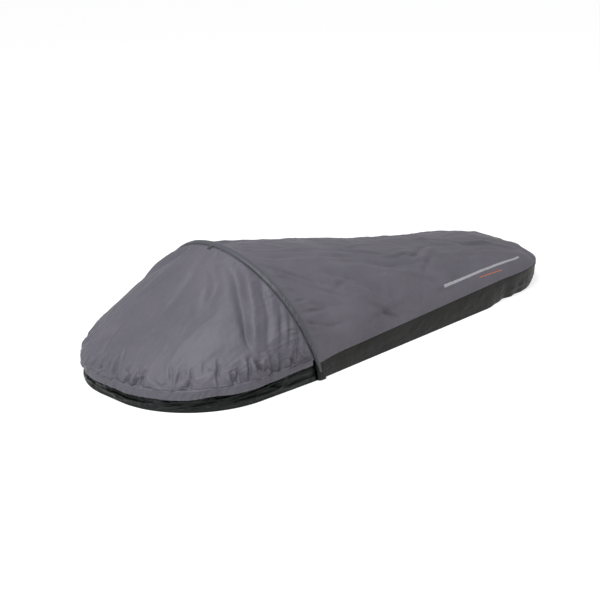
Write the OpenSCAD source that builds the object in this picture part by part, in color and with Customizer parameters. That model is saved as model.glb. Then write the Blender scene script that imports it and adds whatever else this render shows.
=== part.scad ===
// Hooped bivy sack: a one-person shelter bag with a single pole over the shoulders,
// a storm hood that zips round the head end, and a waterproof tub floor.
// The long axis is X with the head towards -X, Y is across, and Z is up from the ground.

/* [Body] */
// Length from the hoop feet to the head end of the floor
head_len = 605; // [560:5:640]
// Length from the hoop feet to the foot end of the floor
foot_len = 1495; // [1400:5:1600]
// Half width of the floor at the hoop
floor_half = 395; // [391:1:396]
// Half width of the floor where the foot end starts to round
foot_half = 320; // [260:2:330]
// Where the foot end starts to round, from the hoop
foot_start = 1112; // [1000:1:1200]
// Height of the side wall at the hoop
wall_hoop = 65; // [60:1:70]
// Height of the side wall at the foot
wall_foot = 96; // [85:1:110]
// Height of the ridge at the foot
ridge_foot = 172; // [140:1:190]
// Corner radius of the head end of the floor
head_corner = 341; // [300:1:350]

/* [Hoop] */
// Radius of the pole's arc
hoop_r = 402; // [401:1:403]
// Lean of the hoop towards the head, in degrees
hoop_tilt = 17; // [10:1:19]
// Height of the pole's arc centre above the ground
hoop_z = 62; // [60:1:64]
// Diameter of the pole tube
pole_d = 8.5; // [8:0.5:9]
// Width of the sleeve
sleeve_w = 24; // [20:1:26]

/* [Cloth] */
// Modelled thickness of the cloth panels
cloth = 1.6; // [1.2:0.1:2]
// Thickness of the floor
floor_t = 2; // [1.5:0.1:3]

/* [Zip] */
// Height of the line where the zip closes
zip_z = 74; // [73:1:75]
// Distance from the hoop feet to the zip's ends
zip_end = 115; // [112:1:125]
// Place of the slider, round the head corner from the head end, in degrees
slider_angle = 14; // [12:1:60]
// Length of the zip puller
pull_len = 44; // [30:1:48]

/* [Hidden] */
$fn = 48;
mid_x = (foot_len - head_len) / 2;    // middle of the bag, from the hoop
hoop_crown = 449;                     // height of the panel edge at the crown
leg_len = 40;                         // straight part of the pole below its arc
wall_half = 389;                      // half width at the top of the wall, at the hoop
head_top_z = 64;                      // top of the head wall
zip_front = 592;                      // zip line: reach, half width and corner radius
zip_half = 388;
zip_corner = 328;
corner_x = zip_front - zip_corner;    // centre of the zip's corner arcs
corner_y = zip_half - zip_corner;
flap_gap = 16;                        // from the zip tape out to the storm flap
hood_low = 86;                        // lower edge of the hood panel
flap_tip_low = 44;                    // lower edge of the storm flap at the head end
flap_side_low = 68;                   // and at its side ends
tape_t = 1;
coil_t = 3;
coil_h = 2;
zip_gap = 1;                          // half the gap between the two zip halves
end_deg = 42.15;                      // arc of an end section, which holds the pole's straight leg too
foot_power = 2 / 2.6;                 // squareness of the rounded foot end
hood_rows = 12;
hood_cols = 40;
panel_cols = 32;
fit_gap = 0.4;

function lerp(a, b, t) = a + (b - a) * t;
function clamp01(t) = min(1, max(0, t));

// Quads of an open grid of rows and columns, first the outside face and then the inside face
function grid_index(i, j, cols) = i * cols + j;
function face(a, b, c, d) = [[a, b, c], [a, c, d]];
function sheet_faces(rows, cols, n) = [
    for (i = [0 : rows - 2], j = [0 : cols - 2])
        let (a = grid_index(i, j, cols), b = a + 1, c = a + cols + 1, d = a + cols)
        each concat(face(a, b, c, d), face(n + d, n + c, n + b, n + a)),
    for (i = [0 : rows - 2])
        let (a = grid_index(i, 0, cols), b = a + cols, c = a + cols - 1, d = b + cols - 1)
        each concat(face(a, b, n + b, n + a), face(d, c, n + c, n + d)),
    for (j = [0 : cols - 2])
        let (a = j, b = j + 1, c = grid_index(rows - 1, j, cols), d = c + 1)
        each concat(face(b, a, n + a, n + b), face(c, d, n + d, n + c))
];

// A closed sheet between two grids of points
module sheet(outer, inner, flip = false) {
    rows = len(outer);
    cols = len(outer[0]);
    points = concat([for (row = outer) each row], [for (row = inner) each row]);
    faces = sheet_faces(rows, cols, rows * cols);
    polyhedron(points, flip ? [for (f = faces) [f[2], f[1], f[0]]] : faces, convexity = 6);
}

// Everything is drawn from the hoop feet and then moved so that X = 0 is the middle of the bag
module placed() { translate([-mid_x, 0, 0]) children(); }

// The hoop's own plane: x across, y up along the lean, z towards the foot
module in_hoop_plane() {
    placed() translate([0, 0, hoop_z]) rotate([0, -hoop_tilt, 0]) rotate([90, 0, 90]) children();
}

// Half width of the long sides, from h0 at the hoop to h1 where the foot end rounds
function side_half(x, h0, h1) = lerp(h0, h1, x / foot_start);

// Plan of the rounded foot end, t from 0 on the right side to 1 on the left side, inset by d
function foot_plan(t, half, d) =
    let (a = 180 * t - 90)
    [lerp(foot_start, foot_len - d, pow(max(0, cos(a)), foot_power)),
     (half - d) * sign(sin(a)) * pow(abs(sin(a)), foot_power)];

// Plan of the head end: a straight side, a corner arc, the front, and back again
function head_plan(t, front, half, r, x_end) =
    let (s1 = front - r - x_end, s2 = s1 + PI * r / 2, s3 = s2 + 2 * (half - r),
         s = min(t, 1 - t) * (s3 + s2), side = t <= 0.5 ? -1 : 1,
         a = (s - s1) / (PI * r / 2) * 90)
    s < s1 ? [-x_end - s, side * half]
    : s < s2 ? [-(front - r) - r * sin(a), side * (half - r + r * cos(a))]
    : [-front, side * (half - r - (s - s2))];

// The same outline as a flat shape with true arcs
module head_shape(front, half, r) {
    for (side = [-1, 1]) translate([-(front - r), side * (half - r)]) circle(r, $fn = 96);
    translate([-(front - r), -half]) square([front - r, 2 * half]);
    translate([-front, -(half - r)]) square([r, 2 * (half - r)]);
}

// A band round the head, d outside the zip line, t thick, from z = low, h tall
module head_band(d, t, low, h) {
    placed() translate([0, 0, low]) linear_extrude(h) difference() {
        head_shape(zip_front + d + t, zip_half + d + t, zip_corner + d + t);
        head_shape(zip_front + d, zip_half + d, zip_corner + d);
        translate([-zip_end, -floor_half - 50]) square([zip_end + zip_corner, 2 * floor_half + 100]);
    }
}

// ---- floor and walls ----
module groundsheet() {
    foot = [for (k = [0 : 40]) foot_plan(k / 40, foot_half, 0)];
    color([0.10, 0.11, 0.10]) placed() linear_extrude(floor_t) union() {
        head_shape(head_len, floor_half, head_corner);
        polygon(concat([[0, floor_half], [0, -floor_half]], foot));
    }
}

// The wall leans in a little under the storm flap
module head_wall() {
    levels = [[floor_t + 0.2, 0], [24, 0.2], [44, 0.8], [head_top_z, 1]];
    function ring(level, d) = [for (k = [0 : 48])
        let (f = level[1],
             p = head_plan(k / 48, lerp(head_len, zip_front, f) - d,
                           lerp(floor_half, zip_half, f) - d,
                           lerp(head_corner, zip_corner, f) - d, 1))
        [p[0], p[1], level[0]]];
    color([0.08, 0.09, 0.09]) placed()
        sheet([for (l = levels) ring(l, 0.2)], [for (l = levels) ring(l, cloth)]);
}

function wall_height(x) = lerp(wall_hoop, wall_foot, clamp01(x / foot_start));

module side_wall(side) {
    heights = [0, 0.3, 0.65, 1];
    function wall(d) = [for (i = [0 : 14]) [for (f = heights)
        let (x = 1 + (foot_start - 2) * i / 14, low = floor_t + 0.2)
        [x, -(side_half(x, lerp(floor_half, wall_half, f), lerp(foot_half, foot_half - 6, f)) - d),
         lerp(low, wall_height(x), f)]]];
    color([0.10, 0.10, 0.09]) placed() mirror([0, side > 0 ? 1 : 0, 0])
        sheet(wall(0.2), wall(cloth));
}
module side_wall_right() { side_wall(-1); }
module side_wall_left() { side_wall(1); }

module foot_wall() {
    levels = [0, 0.35, 0.7, 1];
    function ring(f, d) = [for (k = [0 : 40])
        let (p = foot_plan(k / 40, foot_half, d + 6 * f))
        [p[0] + 0.5, p[1], lerp(floor_t + 0.2, wall_foot, f)]];
    color([0.10, 0.10, 0.09]) placed()
        sheet([for (f = levels) ring(f, 0.7)], [for (f = levels) ring(f, cloth + 0.5)], true);
}

// ---- cloth panels ----
// Height of the ridge behind the hoop
function ridge(x) = ridge_foot + (hoop_crown - ridge_foot) * pow(max(0, 1 - x / foot_len), 1.5);

// A point on the body panel: x along the bag, a across it in degrees, inset by d
function body_section(x, half, wall_top, height, k, d) =
    let (near = pow(clamp01(1 - x / 120), 1.5),
         zc = lerp(wall_top - 30, hoop_z + 3, near),
         rise = height - zc,
         a0 = asin((wall_top + fit_gap - zc) / (rise - cloth)),
         a = lerp(a0, 180 - a0, k),
         wide = lerp(half / cos(a0), hoop_r, near),
         back = hoop_r * sin(hoop_tilt) * pow(clamp01(1 - x / 400), 1.5))
    [x + sleeve_w / 2 + 0.8 - back * sin(a) * (1 - d / hoop_r),
     -(wide - d) * cos(a),
     zc + (rise - d) * sin(a)];

module top_panel() {
    stations = [for (i = [0 : 17]) pow(i / 17, 1.2) * (foot_start - 14)];
    function row(x, d) = [for (j = [0 : panel_cols])
        body_section(x, side_half(x, wall_half, foot_half - 6), wall_height(x), ridge(x), j / panel_cols, d)];
    color([0.46, 0.45, 0.48]) placed()
        sheet([for (x = stations) row(x, 0)], [for (x = stations) row(x, cloth)]);
}

module foot_panel() {
    angles = [for (i = [0 : 9]) 87 * i / 9];
    function row(a, d) = [for (j = [0 : panel_cols])
        let (x = lerp(foot_start, foot_len - 6, pow(sin(a), foot_power)),
             half = (foot_half - 6) * pow(cos(a), foot_power),
             top = wall_foot + 3 + (ridge(x) - wall_foot - 3) * pow(cos(a), 1.2))
        body_section(x - sleeve_w / 2 - 0.8, half, wall_foot, max(top, wall_foot + 3), j / panel_cols,
                     min(d, half * 0.3))];
    color([0.46, 0.45, 0.48]) placed()
        sheet([for (a = angles) row(a, 0)], [for (a = angles) row(a, cloth)]);
}

// Edge of the hood on the front face of the sleeve
function hood_edge(k, d) =
    let (a0 = 4.3, a = lerp(a0, 180 - a0, k), r = hoop_r - d, n = -(sleeve_w / 2 + 0.8))
    [-r * sin(hoop_tilt) * sin(a) + n * cos(hoop_tilt), -r * cos(a),
     hoop_z + r * cos(hoop_tilt) * sin(a) + n * sin(hoop_tilt)];

module hood_panel() {
    // each line runs from the sleeve over a shoulder and down to the storm flap
    function hood_point(k, s, d) =
        let (top = hood_edge(k, d),
             p = head_plan(k, zip_front + flap_gap - d, zip_half + flap_gap - d,
                           zip_corner + flap_gap - d, 27),
             low = [p[0], p[1], hood_low],
             mid = [lerp(low[0], top[0], 0.065), lerp(low[1], top[1], 0.065),
                    hood_low + 92 * pow(sin(180 * k), 0.65) - d],
             w = 1.22, b0 = pow(1 - s, 2), b1 = 2 * w * s * (1 - s), b2 = s * s)
        (b0 * top + b1 * mid + b2 * low) / (b0 + b1 + b2);
    function grid(d) = [for (i = [0 : hood_rows]) [for (j = [0 : hood_cols])
        hood_point(j / hood_cols, i / hood_rows, d)]];
    color([0.45, 0.44, 0.47]) placed() sheet(grid(0), grid(cloth), true);
}

// Storm flap: the hood's hem, which hangs outside the zip and is deepest at the head end
module storm_flap() {
    function low_edge(k) = lerp(flap_tip_low, flap_side_low, pow(abs(2 * k - 1), 1.1));
    function strip(d) = [for (f = [0, 0.5, 1]) [for (k = [0 : 48])
        let (p = head_plan(k / 48, zip_front + flap_gap - d, zip_half + flap_gap - d,
                           zip_corner + flap_gap - d, zip_end))
        [p[0], p[1], lerp(low_edge(k / 48), hood_low - fit_gap, f)]]];
    color([0.42, 0.41, 0.44]) placed() sheet(strip(0), strip(cloth));
}

// ---- hoop ----
module arc_tube(outer_r, inner_r, from_deg, to_deg) {
    in_hoop_plane() rotate([0, 0, from_deg]) rotate_extrude(angle = to_deg - from_deg, $fn = 180)
        translate([hoop_r, 0]) difference() {
            circle(outer_r, $fn = 32);
            if (inner_r > 0) circle(inner_r, $fn = 32);
        }
}
module leg(side, outer_r, inner_r, length) {
    in_hoop_plane() translate([side * hoop_r, 0, 0]) rotate([90, 0, 0]) difference() {
        cylinder(r = outer_r, h = length, $fn = 32);
        if (inner_r > 0) translate([0, 0, -1]) cylinder(r = inner_r, h = length + 2, $fn = 32);
    }
}
module pole_section(from_deg, to_deg, with_leg) {
    color([0.75, 0.76, 0.78]) {
        arc_tube(pole_d / 2, pole_d / 2 - 0.7, from_deg, to_deg);
        if (with_leg) leg(1, pole_d / 2, pole_d / 2 - 0.7, leg_len);
    }
}
module pole_section_1() { pole_section(0, end_deg - 0.02, true); }
module pole_section_2() { pole_section(end_deg + 0.02, 89.98, false); }
module pole_section_3() { pole_section(90.02, 179.98 - end_deg, false); }
module pole_section_4() { mirror([0, 1, 0]) pole_section_1(); }

module pole_ferrule(at_deg) {
    color([0.6, 0.6, 0.62]) arc_tube(pole_d / 2 - 0.8, pole_d / 2 - 1.6, at_deg - 4, at_deg + 4);
}
module pole_ferrule_1() { pole_ferrule(end_deg); }
module pole_ferrule_2() { pole_ferrule(90); }
module pole_ferrule_3() { pole_ferrule(180 - end_deg); }

module shock_cord() {
    color([0.1, 0.1, 0.1]) {
        arc_tube(1.3, 0, 0, 180);
        for (side = [-1, 1]) leg(side, 1.3, 0, leg_len - 2);
    }
}

tip_len = 15;
module pole_tip(side) {
    color([0.12, 0.12, 0.13]) in_hoop_plane()
        translate([side * hoop_r, -leg_len - 0.2, 0]) rotate([90, 0, 0]) {
            cylinder(r = 4.6, h = tip_len - 3);
            translate([0, 0, tip_len - 3]) cylinder(r = 3.4, h = 3);
        }
}
module pole_tip_right() { pole_tip(-1); }
module pole_tip_left() { pole_tip(1); }

// Webbing cup sewn outside the wall that holds the pole's end
module pole_pocket(side) {
    color([0.13, 0.13, 0.13]) difference() {
        placed() translate([0.5, side * hoop_r - (side > 0 ? 6.4 : 7), 2.4]) cube([31, 13.4, 30]);
        in_hoop_plane() translate([side * hoop_r, 10, 0]) rotate([90, 0, 0])
            cylinder(r = 4.9, h = leg_len + 26);
    }
}
module pole_pocket_right() { pole_pocket(-1); }
module pole_pocket_left() { pole_pocket(1); }

module sleeve_section(t, w) {
    square([t, w - t], center = true);
    for (s = [-1, 1]) translate([0, s * (w - t) / 2]) circle(t / 2, $fn = 32);
}
module sleeve_wall() {
    difference() {
        sleeve_section(13, sleeve_w);
        sleeve_section(10.6, sleeve_w - 2.4);
    }
}
module pole_sleeve() {
    color([0.38, 0.38, 0.39]) in_hoop_plane() {
        rotate_extrude(angle = 180, $fn = 180) translate([hoop_r, 0]) sleeve_wall();
        for (side = [-1, 1]) translate([side * hoop_r, 0, 0]) rotate([90, 0, 0])
            linear_extrude(leg_len - 12) sleeve_wall();
    }
}

// Small webbing tab at the top of the hood, against the sleeve
module crown_tab() {
    color([0.1, 0.1, 0.1]) in_hoop_plane() translate([-8, hoop_r + 3, -sleeve_w / 2 - 1])
        rotate([-12, 0, 0]) translate([0, 0, -18]) cube([16, 1.2, 18]);
}

// ---- zip ----
module zip_tape_lower() {
    color([0.09, 0.09, 0.09])
        head_band(0, tape_t, head_top_z + 0.2, zip_z - zip_gap - head_top_z - 0.2);
}
module zip_tape_upper() {
    color([0.09, 0.09, 0.09]) head_band(0, tape_t, zip_z + zip_gap, hood_low - zip_z - 2);
}
module zip_coil(low) { color([0.05, 0.05, 0.05]) head_band(tape_t, coil_t, low, coil_h); }
module zip_coil_lower() { zip_coil(zip_z - zip_gap - coil_h); }
module zip_coil_upper() { zip_coil(zip_z + zip_gap); }

// Metal stops clamped on the lower tape, one at each end of the zip
module zip_stops() {
    for (side = [-1, 1])
        color([0.5, 0.5, 0.5]) placed()
            translate([-zip_end + 0.4, side * (zip_half + tape_t + coil_t / 2) - 2, zip_z - 4])
                cube([4, 4, 3]);
}

pin_y = 8;

// Slider drawn at the origin: x along the zip, y outwards from the tape's inner face
module slider_body() {
    for (y = [-2.6, 4.4]) translate([-6, y, -4]) cube([12, 1.8, 8]);
    translate([-1.5, -1, -0.6]) cube([3, 5.6, 1.2]);
    for (x = [-3.4, 2.2]) translate([x, 6, 1]) cube([1.2, pin_y - 4.5, 3]);
    translate([-3.4, pin_y, 2.5]) rotate([0, 90, 0]) cylinder(r = 0.7, h = 6.8, $fn = 16);
}

// Puller that hangs from the slider's pin, leaning out by lean degrees
module puller(lean) {
    translate([0, pin_y, 2.5]) rotate([lean, 0, 0]) difference() {
        union() {
            rotate([0, 90, 0]) translate([0, 0, -2]) cylinder(r = 1.6, h = 4, $fn = 24);
            translate([-2, -0.7, -pull_len]) cube([4, 1.4, pull_len - 1]);
        }
        rotate([0, 90, 0]) translate([0, 0, -3]) cylinder(r = 0.8, h = 6, $fn = 24);
    }
}

module at_slider() {
    placed() translate([-corner_x, corner_y, zip_z]) rotate([0, 0, 90 - slider_angle])
        translate([0, zip_corner, 0]) children();
}
module zip_slider() { color([0.2, 0.2, 0.21]) at_slider() slider_body(); }
module zip_puller() { color([0.06, 0.06, 0.06]) at_slider() puller(4); }

groundsheet();
head_wall();
side_wall_right();
side_wall_left();
foot_wall();
top_panel();
foot_panel();
hood_panel();
storm_flap();
pole_section_1();
pole_section_2();
pole_section_3();
pole_section_4();
pole_ferrule_1();
pole_ferrule_2();
pole_ferrule_3();
shock_cord();
pole_tip_right();
pole_tip_left();
pole_pocket_right();
pole_pocket_left();
pole_sleeve();
crown_tab();
zip_tape_lower();
zip_coil_lower();
zip_tape_upper();
zip_coil_upper();
zip_stops();
zip_slider();
zip_puller();
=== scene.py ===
"""Looks for a hooped bivy sack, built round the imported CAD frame, in metres in the row frame."""
import math

import bpy
import numpy as np
from mathutils import Matrix, Vector


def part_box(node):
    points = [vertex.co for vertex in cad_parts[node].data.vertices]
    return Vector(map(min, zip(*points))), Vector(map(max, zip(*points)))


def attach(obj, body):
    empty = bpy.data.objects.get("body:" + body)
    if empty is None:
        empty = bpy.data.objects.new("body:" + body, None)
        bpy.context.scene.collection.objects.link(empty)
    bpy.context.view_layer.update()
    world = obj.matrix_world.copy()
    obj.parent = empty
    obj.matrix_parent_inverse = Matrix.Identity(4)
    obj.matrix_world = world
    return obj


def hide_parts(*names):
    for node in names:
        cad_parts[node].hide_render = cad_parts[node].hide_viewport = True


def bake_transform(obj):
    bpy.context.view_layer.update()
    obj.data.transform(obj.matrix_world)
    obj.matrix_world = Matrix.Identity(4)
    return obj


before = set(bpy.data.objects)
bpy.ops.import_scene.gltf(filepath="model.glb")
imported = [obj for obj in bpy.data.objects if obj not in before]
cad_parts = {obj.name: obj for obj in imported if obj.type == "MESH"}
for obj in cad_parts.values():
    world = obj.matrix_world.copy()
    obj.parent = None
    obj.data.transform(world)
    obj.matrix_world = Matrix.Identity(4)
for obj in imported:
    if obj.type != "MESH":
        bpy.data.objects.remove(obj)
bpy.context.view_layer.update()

# ---- the bag's driving sizes, from the frame where it holds them ----
floor_lo, floor_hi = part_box("groundsheet")
side_lo, side_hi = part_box("side_wall_right")
WALL_GAP = 0.001           # from the hoop feet to the side walls, and from the side walls to the foot wall
HOOP_X = side_lo.x - WALL_GAP
HEAD_LEN = HOOP_X - floor_lo.x
FOOT_LEN = floor_hi.x - HOOP_X
FOOT_START = side_hi.x + WALL_GAP - HOOP_X
FLOOR_HALF = floor_hi.y
WALL_FOOT = side_hi.z      # height of the wall at the foot
WALL_HOOP = 0.065          # height of the wall at the hoop
WALL_HALF = 0.389          # half width at the top of the wall, at the hoop
FLOOR_FOOT_HALF = 0.320    # half width of the floor where the foot starts to round
WALL_FOOT_HALF = 0.314     # half width at the top of the wall there
WALL_INSET = 0.006         # how far the top of the foot wall stands inside the floor's end
TUB_LOW = 0.0012           # height of the walls' lower edge
FOOT_POWER = 2 / 2.6       # power of the foot's round plan
RIDGE_FOOT = 0.172         # height that the ridge falls to at the foot
HOOP_CROWN = 0.449         # height of the ridge at the hoop
HEAD_CORNER = 0.341        # corner radius of the floor's head end
HOOP_R = 0.402             # radius of the pole's arc
HOOP_TILT = math.radians(17)
HOOP_Z = 0.062             # height of the pole's arc centre
LEG = 0.040                # straight part of the pole below its arc
SLEEVE_LEG = LEG - 0.011   # straight part of the sleeve, which stops above the pole's end
SLEEVE_RUN = math.pi * HOOP_R + 2 * SLEEVE_LEG
SLEEVE_W = 0.024
ZIP_FRONT, ZIP_HALF, ZIP_CORNER = 0.592, 0.388, 0.328   # the zip line in plan: reach, half width, corner
ZIP_Z = 0.074              # height of the line where the zip closes
HEAD_TOP_Z = 0.064         # top of the head wall
FLAP_GAP = 0.016           # how far the hem stands outside the zip line
HEM_END = 0.027            # how far ahead of the hoop feet the hem ends
HOOD_LOW = 0.086           # height of the hem strip's upper edge
FLAP_TIP_LOW, FLAP_SIDE_LOW = 0.044, 0.068   # height of its lower edge at the head's tip and at the hoop
CLOTH = 0.0009             # visible thickness of a cloth panel
THREAD_LIFT = 0.0001       # how far a stitch line stands off the cloth

# ---- camera ----
AZIMUTH, ELEVATION, ROLL = math.radians(-42.475), math.radians(18.738), math.radians(-1.439)
CAMERA_DISTANCE = 5.936
LENS, SENSOR = 94.55, 36
target = Vector((HOOP_X + 0.2618, -0.0297, 0.1507))
back = Vector((math.sin(AZIMUTH) * math.cos(ELEVATION), -math.cos(AZIMUTH) * math.cos(ELEVATION),
               math.sin(ELEVATION)))
camera = bpy.data.objects.new("camera", bpy.data.cameras.new("camera"))
camera.data.lens = LENS
camera.data.sensor_width = SENSOR
camera.data.clip_end = 60
camera.location = target + back * CAMERA_DISTANCE
camera.rotation_mode = "QUATERNION"
level = (-back).to_track_quat("-Z", "Y")
camera.rotation_quaternion = Matrix.Rotation(ROLL, 3, back).to_quaternion() @ level
bpy.context.scene.collection.objects.link(camera)
bpy.context.scene.camera = camera


# ---- numbers ----
def clamp01(t):
    return np.clip(t, 0, 1)


def ease(t):
    t = clamp01(t)
    return t * t * (3 - 2 * t)


def mix(a, b, t):
    return a + (b - a) * t


def noise2(u, v, seed):
    """Smooth value noise from -1 to 1 on a unit lattice."""
    table = np.random.default_rng(seed).uniform(-1, 1, (256, 256))
    iu, iv = np.floor(u).astype(int), np.floor(v).astype(int)
    fu, fv = ease(u - iu), ease(v - iv)
    a, b = table[iu % 256, iv % 256], table[(iu + 1) % 256, iv % 256]
    c, d = table[iu % 256, (iv + 1) % 256], table[(iu + 1) % 256, (iv + 1) % 256]
    return mix(mix(a, b, fu), mix(c, d, fu), fv)


def folds(u, v, seed):
    """Crisp cloth creases: sharp ridges between flatter facets, about -0.5 to 0.5."""
    wu, wv = u + 0.6 * noise2(u * 0.7, v * 0.7, seed + 1), v + 0.6 * noise2(u * 0.7, v * 0.7, seed + 2)
    return 0.5 - np.abs(noise2(wu, wv, seed)) ** 0.7 + 0.3 * noise2(wu * 2.1, wv * 2.1, seed + 3)


def crease(a, b, start, end, width, depth):
    """A valley with a softer ridge beside it, along the line from start to end in the (a, b) plane."""
    du, dv = end[0] - start[0], end[1] - start[1]
    length = math.hypot(du, dv)
    t = ((a - start[0]) * du + (b - start[1]) * dv) / length ** 2
    off = ((a - start[0]) * dv - (b - start[1]) * du) / length
    phase = 37 * (start[0] + 3 * start[1] + 5 * end[0])      # so that no two creases waver alike
    off = off + width * 0.6 * noise2(t * length / 0.09 + phase, 0 * t + phase, 101)
    along = np.sin(np.pi * clamp01(t)) ** 0.6 * (0.8 + 0.3 * noise2(t * length / 0.07 + phase, 0 * t, 103))
    return depth * along * (0.7 * np.exp(-((off - 1.5 * width) / (1.4 * width)) ** 2)
                            - np.exp(-(off / width) ** 2))


# ---- the bag's surfaces, from the hoop feet ----
def side_half(x, h0, h1):
    """Half width of a side that narrows evenly from the hoop feet to the foot."""
    return mix(h0, h1, x / FOOT_START)


def wall_height(x):
    """Height of the tub's wall at x behind the hoop feet."""
    return mix(WALL_HOOP, WALL_FOOT, clamp01(x / FOOT_START))


def ridge(x):
    """Height of the bag's middle line at x behind the hoop feet."""
    return RIDGE_FOOT + (HOOP_CROWN - RIDGE_FOOT) * np.maximum(0, 1 - x / FOOT_LEN) ** 1.5


def foot_plan(t, half, inset):
    """Plan of the round foot end, t from 0 on the near side to 1 on the far side."""
    a = np.radians(180 * t - 90)
    x = mix(FOOT_START, FOOT_LEN - inset, np.maximum(0, np.cos(a)) ** FOOT_POWER)
    return x, (half - inset) * np.sign(np.sin(a)) * np.abs(np.sin(a)) ** FOOT_POWER


def head_plan(t, front, half, r, x_end):
    """Plan of the head end from side to side, with round corners; it starts at x_end."""
    s1 = front - r - x_end
    s2 = s1 + math.pi * r / 2
    s3 = s2 + 2 * (half - r)
    s = np.minimum(t, 1 - t) * (s3 + s2)
    side = np.where(t <= 0.5, -1.0, 1.0)
    a = (s - s1) / (math.pi * r / 2) * math.pi / 2
    x = np.where(s < s1, -x_end - s, np.where(s < s2, -(front - r) - r * np.sin(a), -front))
    y = np.where(s < s1, half, np.where(s < s2, half - r + r * np.cos(a), half - r - (s - s2)))
    return x, side * y


def sleeve_half(low):
    """Half width of the pole sleeve at a length low up from its nearer foot."""
    return SLEEVE_W / 2 * mix(0.55, 1.0, ease(low / 0.13))


ARC_FADE, LEAN_FADE = 0.120, 0.4    # how far behind the hoop its arc and its lean still shape the bag
ARC_DROP = 0.030                    # how far the section's arc centre lies below the wall top
SEAM_LIFT = 0.0004                  # how far the panel's edge lies above the wall top


def body_section(x, half, wall_top, height, k):
    """A point of the bag's cross-section at x, k across it from the near wall to the far one."""
    near = clamp01(1 - x / ARC_FADE) ** 1.5
    zc = mix(wall_top - ARC_DROP, HOOP_Z + 0.003, near)
    rise = height - zc
    a0 = np.arcsin((wall_top + SEAM_LIFT - zc) / rise)
    a = mix(a0, math.pi - a0, k)
    wide = mix(half / np.cos(a0), HOOP_R, near)
    lean = HOOP_R * math.sin(HOOP_TILT) * clamp01(1 - x / LEAN_FADE) ** 1.5
    shift = sleeve_half(HOOP_R * np.minimum(a, math.pi - a) + SLEEVE_LEG) * clamp01(1 - x / FOOT_START)
    return np.stack([x + shift - lean * np.sin(a), -wide * np.cos(a), zc + rise * np.sin(a)], -1)


STRAIGHT_SHARE = 0.74      # share of the body panel's rows that lie before the foot's round
LAST_TURN = math.radians(89.3)
FOOT_SEAM_Z = WALL_FOOT + 0.0006


def body_grid(rows, cols):
    """Points on the body panel from the hoop to the foot, rows along the bag and cols across it."""
    t = np.linspace(0, 1, rows)[:, None]
    k = np.linspace(0, 1, cols)[None, :]
    before = t < STRAIGHT_SHARE
    straight = clamp01(t / STRAIGHT_SHARE) * FOOT_START
    a = LAST_TURN * clamp01((t - STRAIGHT_SHARE) / (1 - STRAIGHT_SHARE))
    x = np.where(before, straight, mix(FOOT_START, FOOT_LEN - WALL_INSET, np.sin(a) ** FOOT_POWER))
    half = np.where(before, side_half(straight, WALL_HALF, WALL_FOOT_HALF),
                    WALL_FOOT_HALF * np.cos(a) ** FOOT_POWER)
    top = np.where(before, ridge(x), FOOT_SEAM_Z + (ridge(x) - FOOT_SEAM_Z) * np.cos(a) ** 1.2)
    return body_section(x + 0 * k, half + 0 * k, wall_height(x) + 0 * k, top + 0 * k, k + 0 * t)


EDGE_START = math.radians(4.3)      # where the hood's upper edge starts on the pole's arc
SLEEVE_PULL, HOOD_BULGE = 0.065, 0.092   # how the hood's middle leans to the sleeve, and stands over the hem
HOOD_FULLNESS = 1.22                # weight of the hood's middle: more is rounder


def hood_edge(k):
    """The hood's upper edge, along the head side of the sleeve."""
    a = mix(EDGE_START, math.pi - EDGE_START, k)
    n = -sleeve_half(HOOP_R * np.minimum(a, math.pi - a) + SLEEVE_LEG)
    return np.stack([-HOOP_R * math.sin(HOOP_TILT) * np.sin(a) + n * math.cos(HOOP_TILT), -HOOP_R * np.cos(a),
                     HOOP_Z + HOOP_R * math.cos(HOOP_TILT) * np.sin(a) + n * math.sin(HOOP_TILT)], -1)


def hem_plan(k):
    """Plan of the hem, which stands outside the zip line."""
    return head_plan(k, ZIP_FRONT + FLAP_GAP, ZIP_HALF + FLAP_GAP, ZIP_CORNER + FLAP_GAP, HEM_END)


def hood_point(k, s):
    """A point on the hood: k from the near hoop foot to the far one, s from the sleeve to the hem."""
    top = hood_edge(k)
    x, y = hem_plan(k)
    low = np.stack([x, y, HOOD_LOW + 0 * x], -1)
    mid = mix(low, top, SLEEVE_PULL)
    mid[..., 2] = HOOD_LOW + HOOD_BULGE * np.maximum(0, np.sin(math.pi * k)) ** 0.65
    s = s[..., None]
    b0, b1, b2 = (1 - s) ** 2, 2 * HOOD_FULLNESS * s * (1 - s), s * s
    return (b0 * top + b1 * mid + b2 * low) / (b0 + b1 + b2)


def flap_low(k):
    """Height of the hem's lower edge, which dips at the head's tip."""
    return mix(FLAP_TIP_LOW, FLAP_SIDE_LOW, np.abs(2 * k - 1) ** 1.1)


def to_row(p):
    """From the hoop feet to the row frame."""
    return p + np.array([HOOP_X, 0, 0])


# ---- meshes from grids ----
def grid_normals(p):
    """Unit normals at the points of a grid."""
    du = np.gradient(p, axis=0)
    dv = np.gradient(p, axis=1)
    n = np.cross(du, dv)
    return n / np.maximum(np.linalg.norm(n, axis=-1, keepdims=True), 1e-12)


def outward(p, centre):
    """Normals of a grid that point away from a point inside it."""
    n = grid_normals(p)
    flip = np.sign(((p - centre) * n).sum(-1).mean())
    return n * flip


def grid_faces(rows, cols, offset=0):
    """Quads between the points of a grid whose first point has the index offset."""
    i, j = np.meshgrid(np.arange(rows - 1), np.arange(cols - 1), indexing="ij")
    a = (i * cols + j).ravel() + offset
    return np.stack([a, a + 1, a + cols + 1, a + cols], -1)


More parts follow.
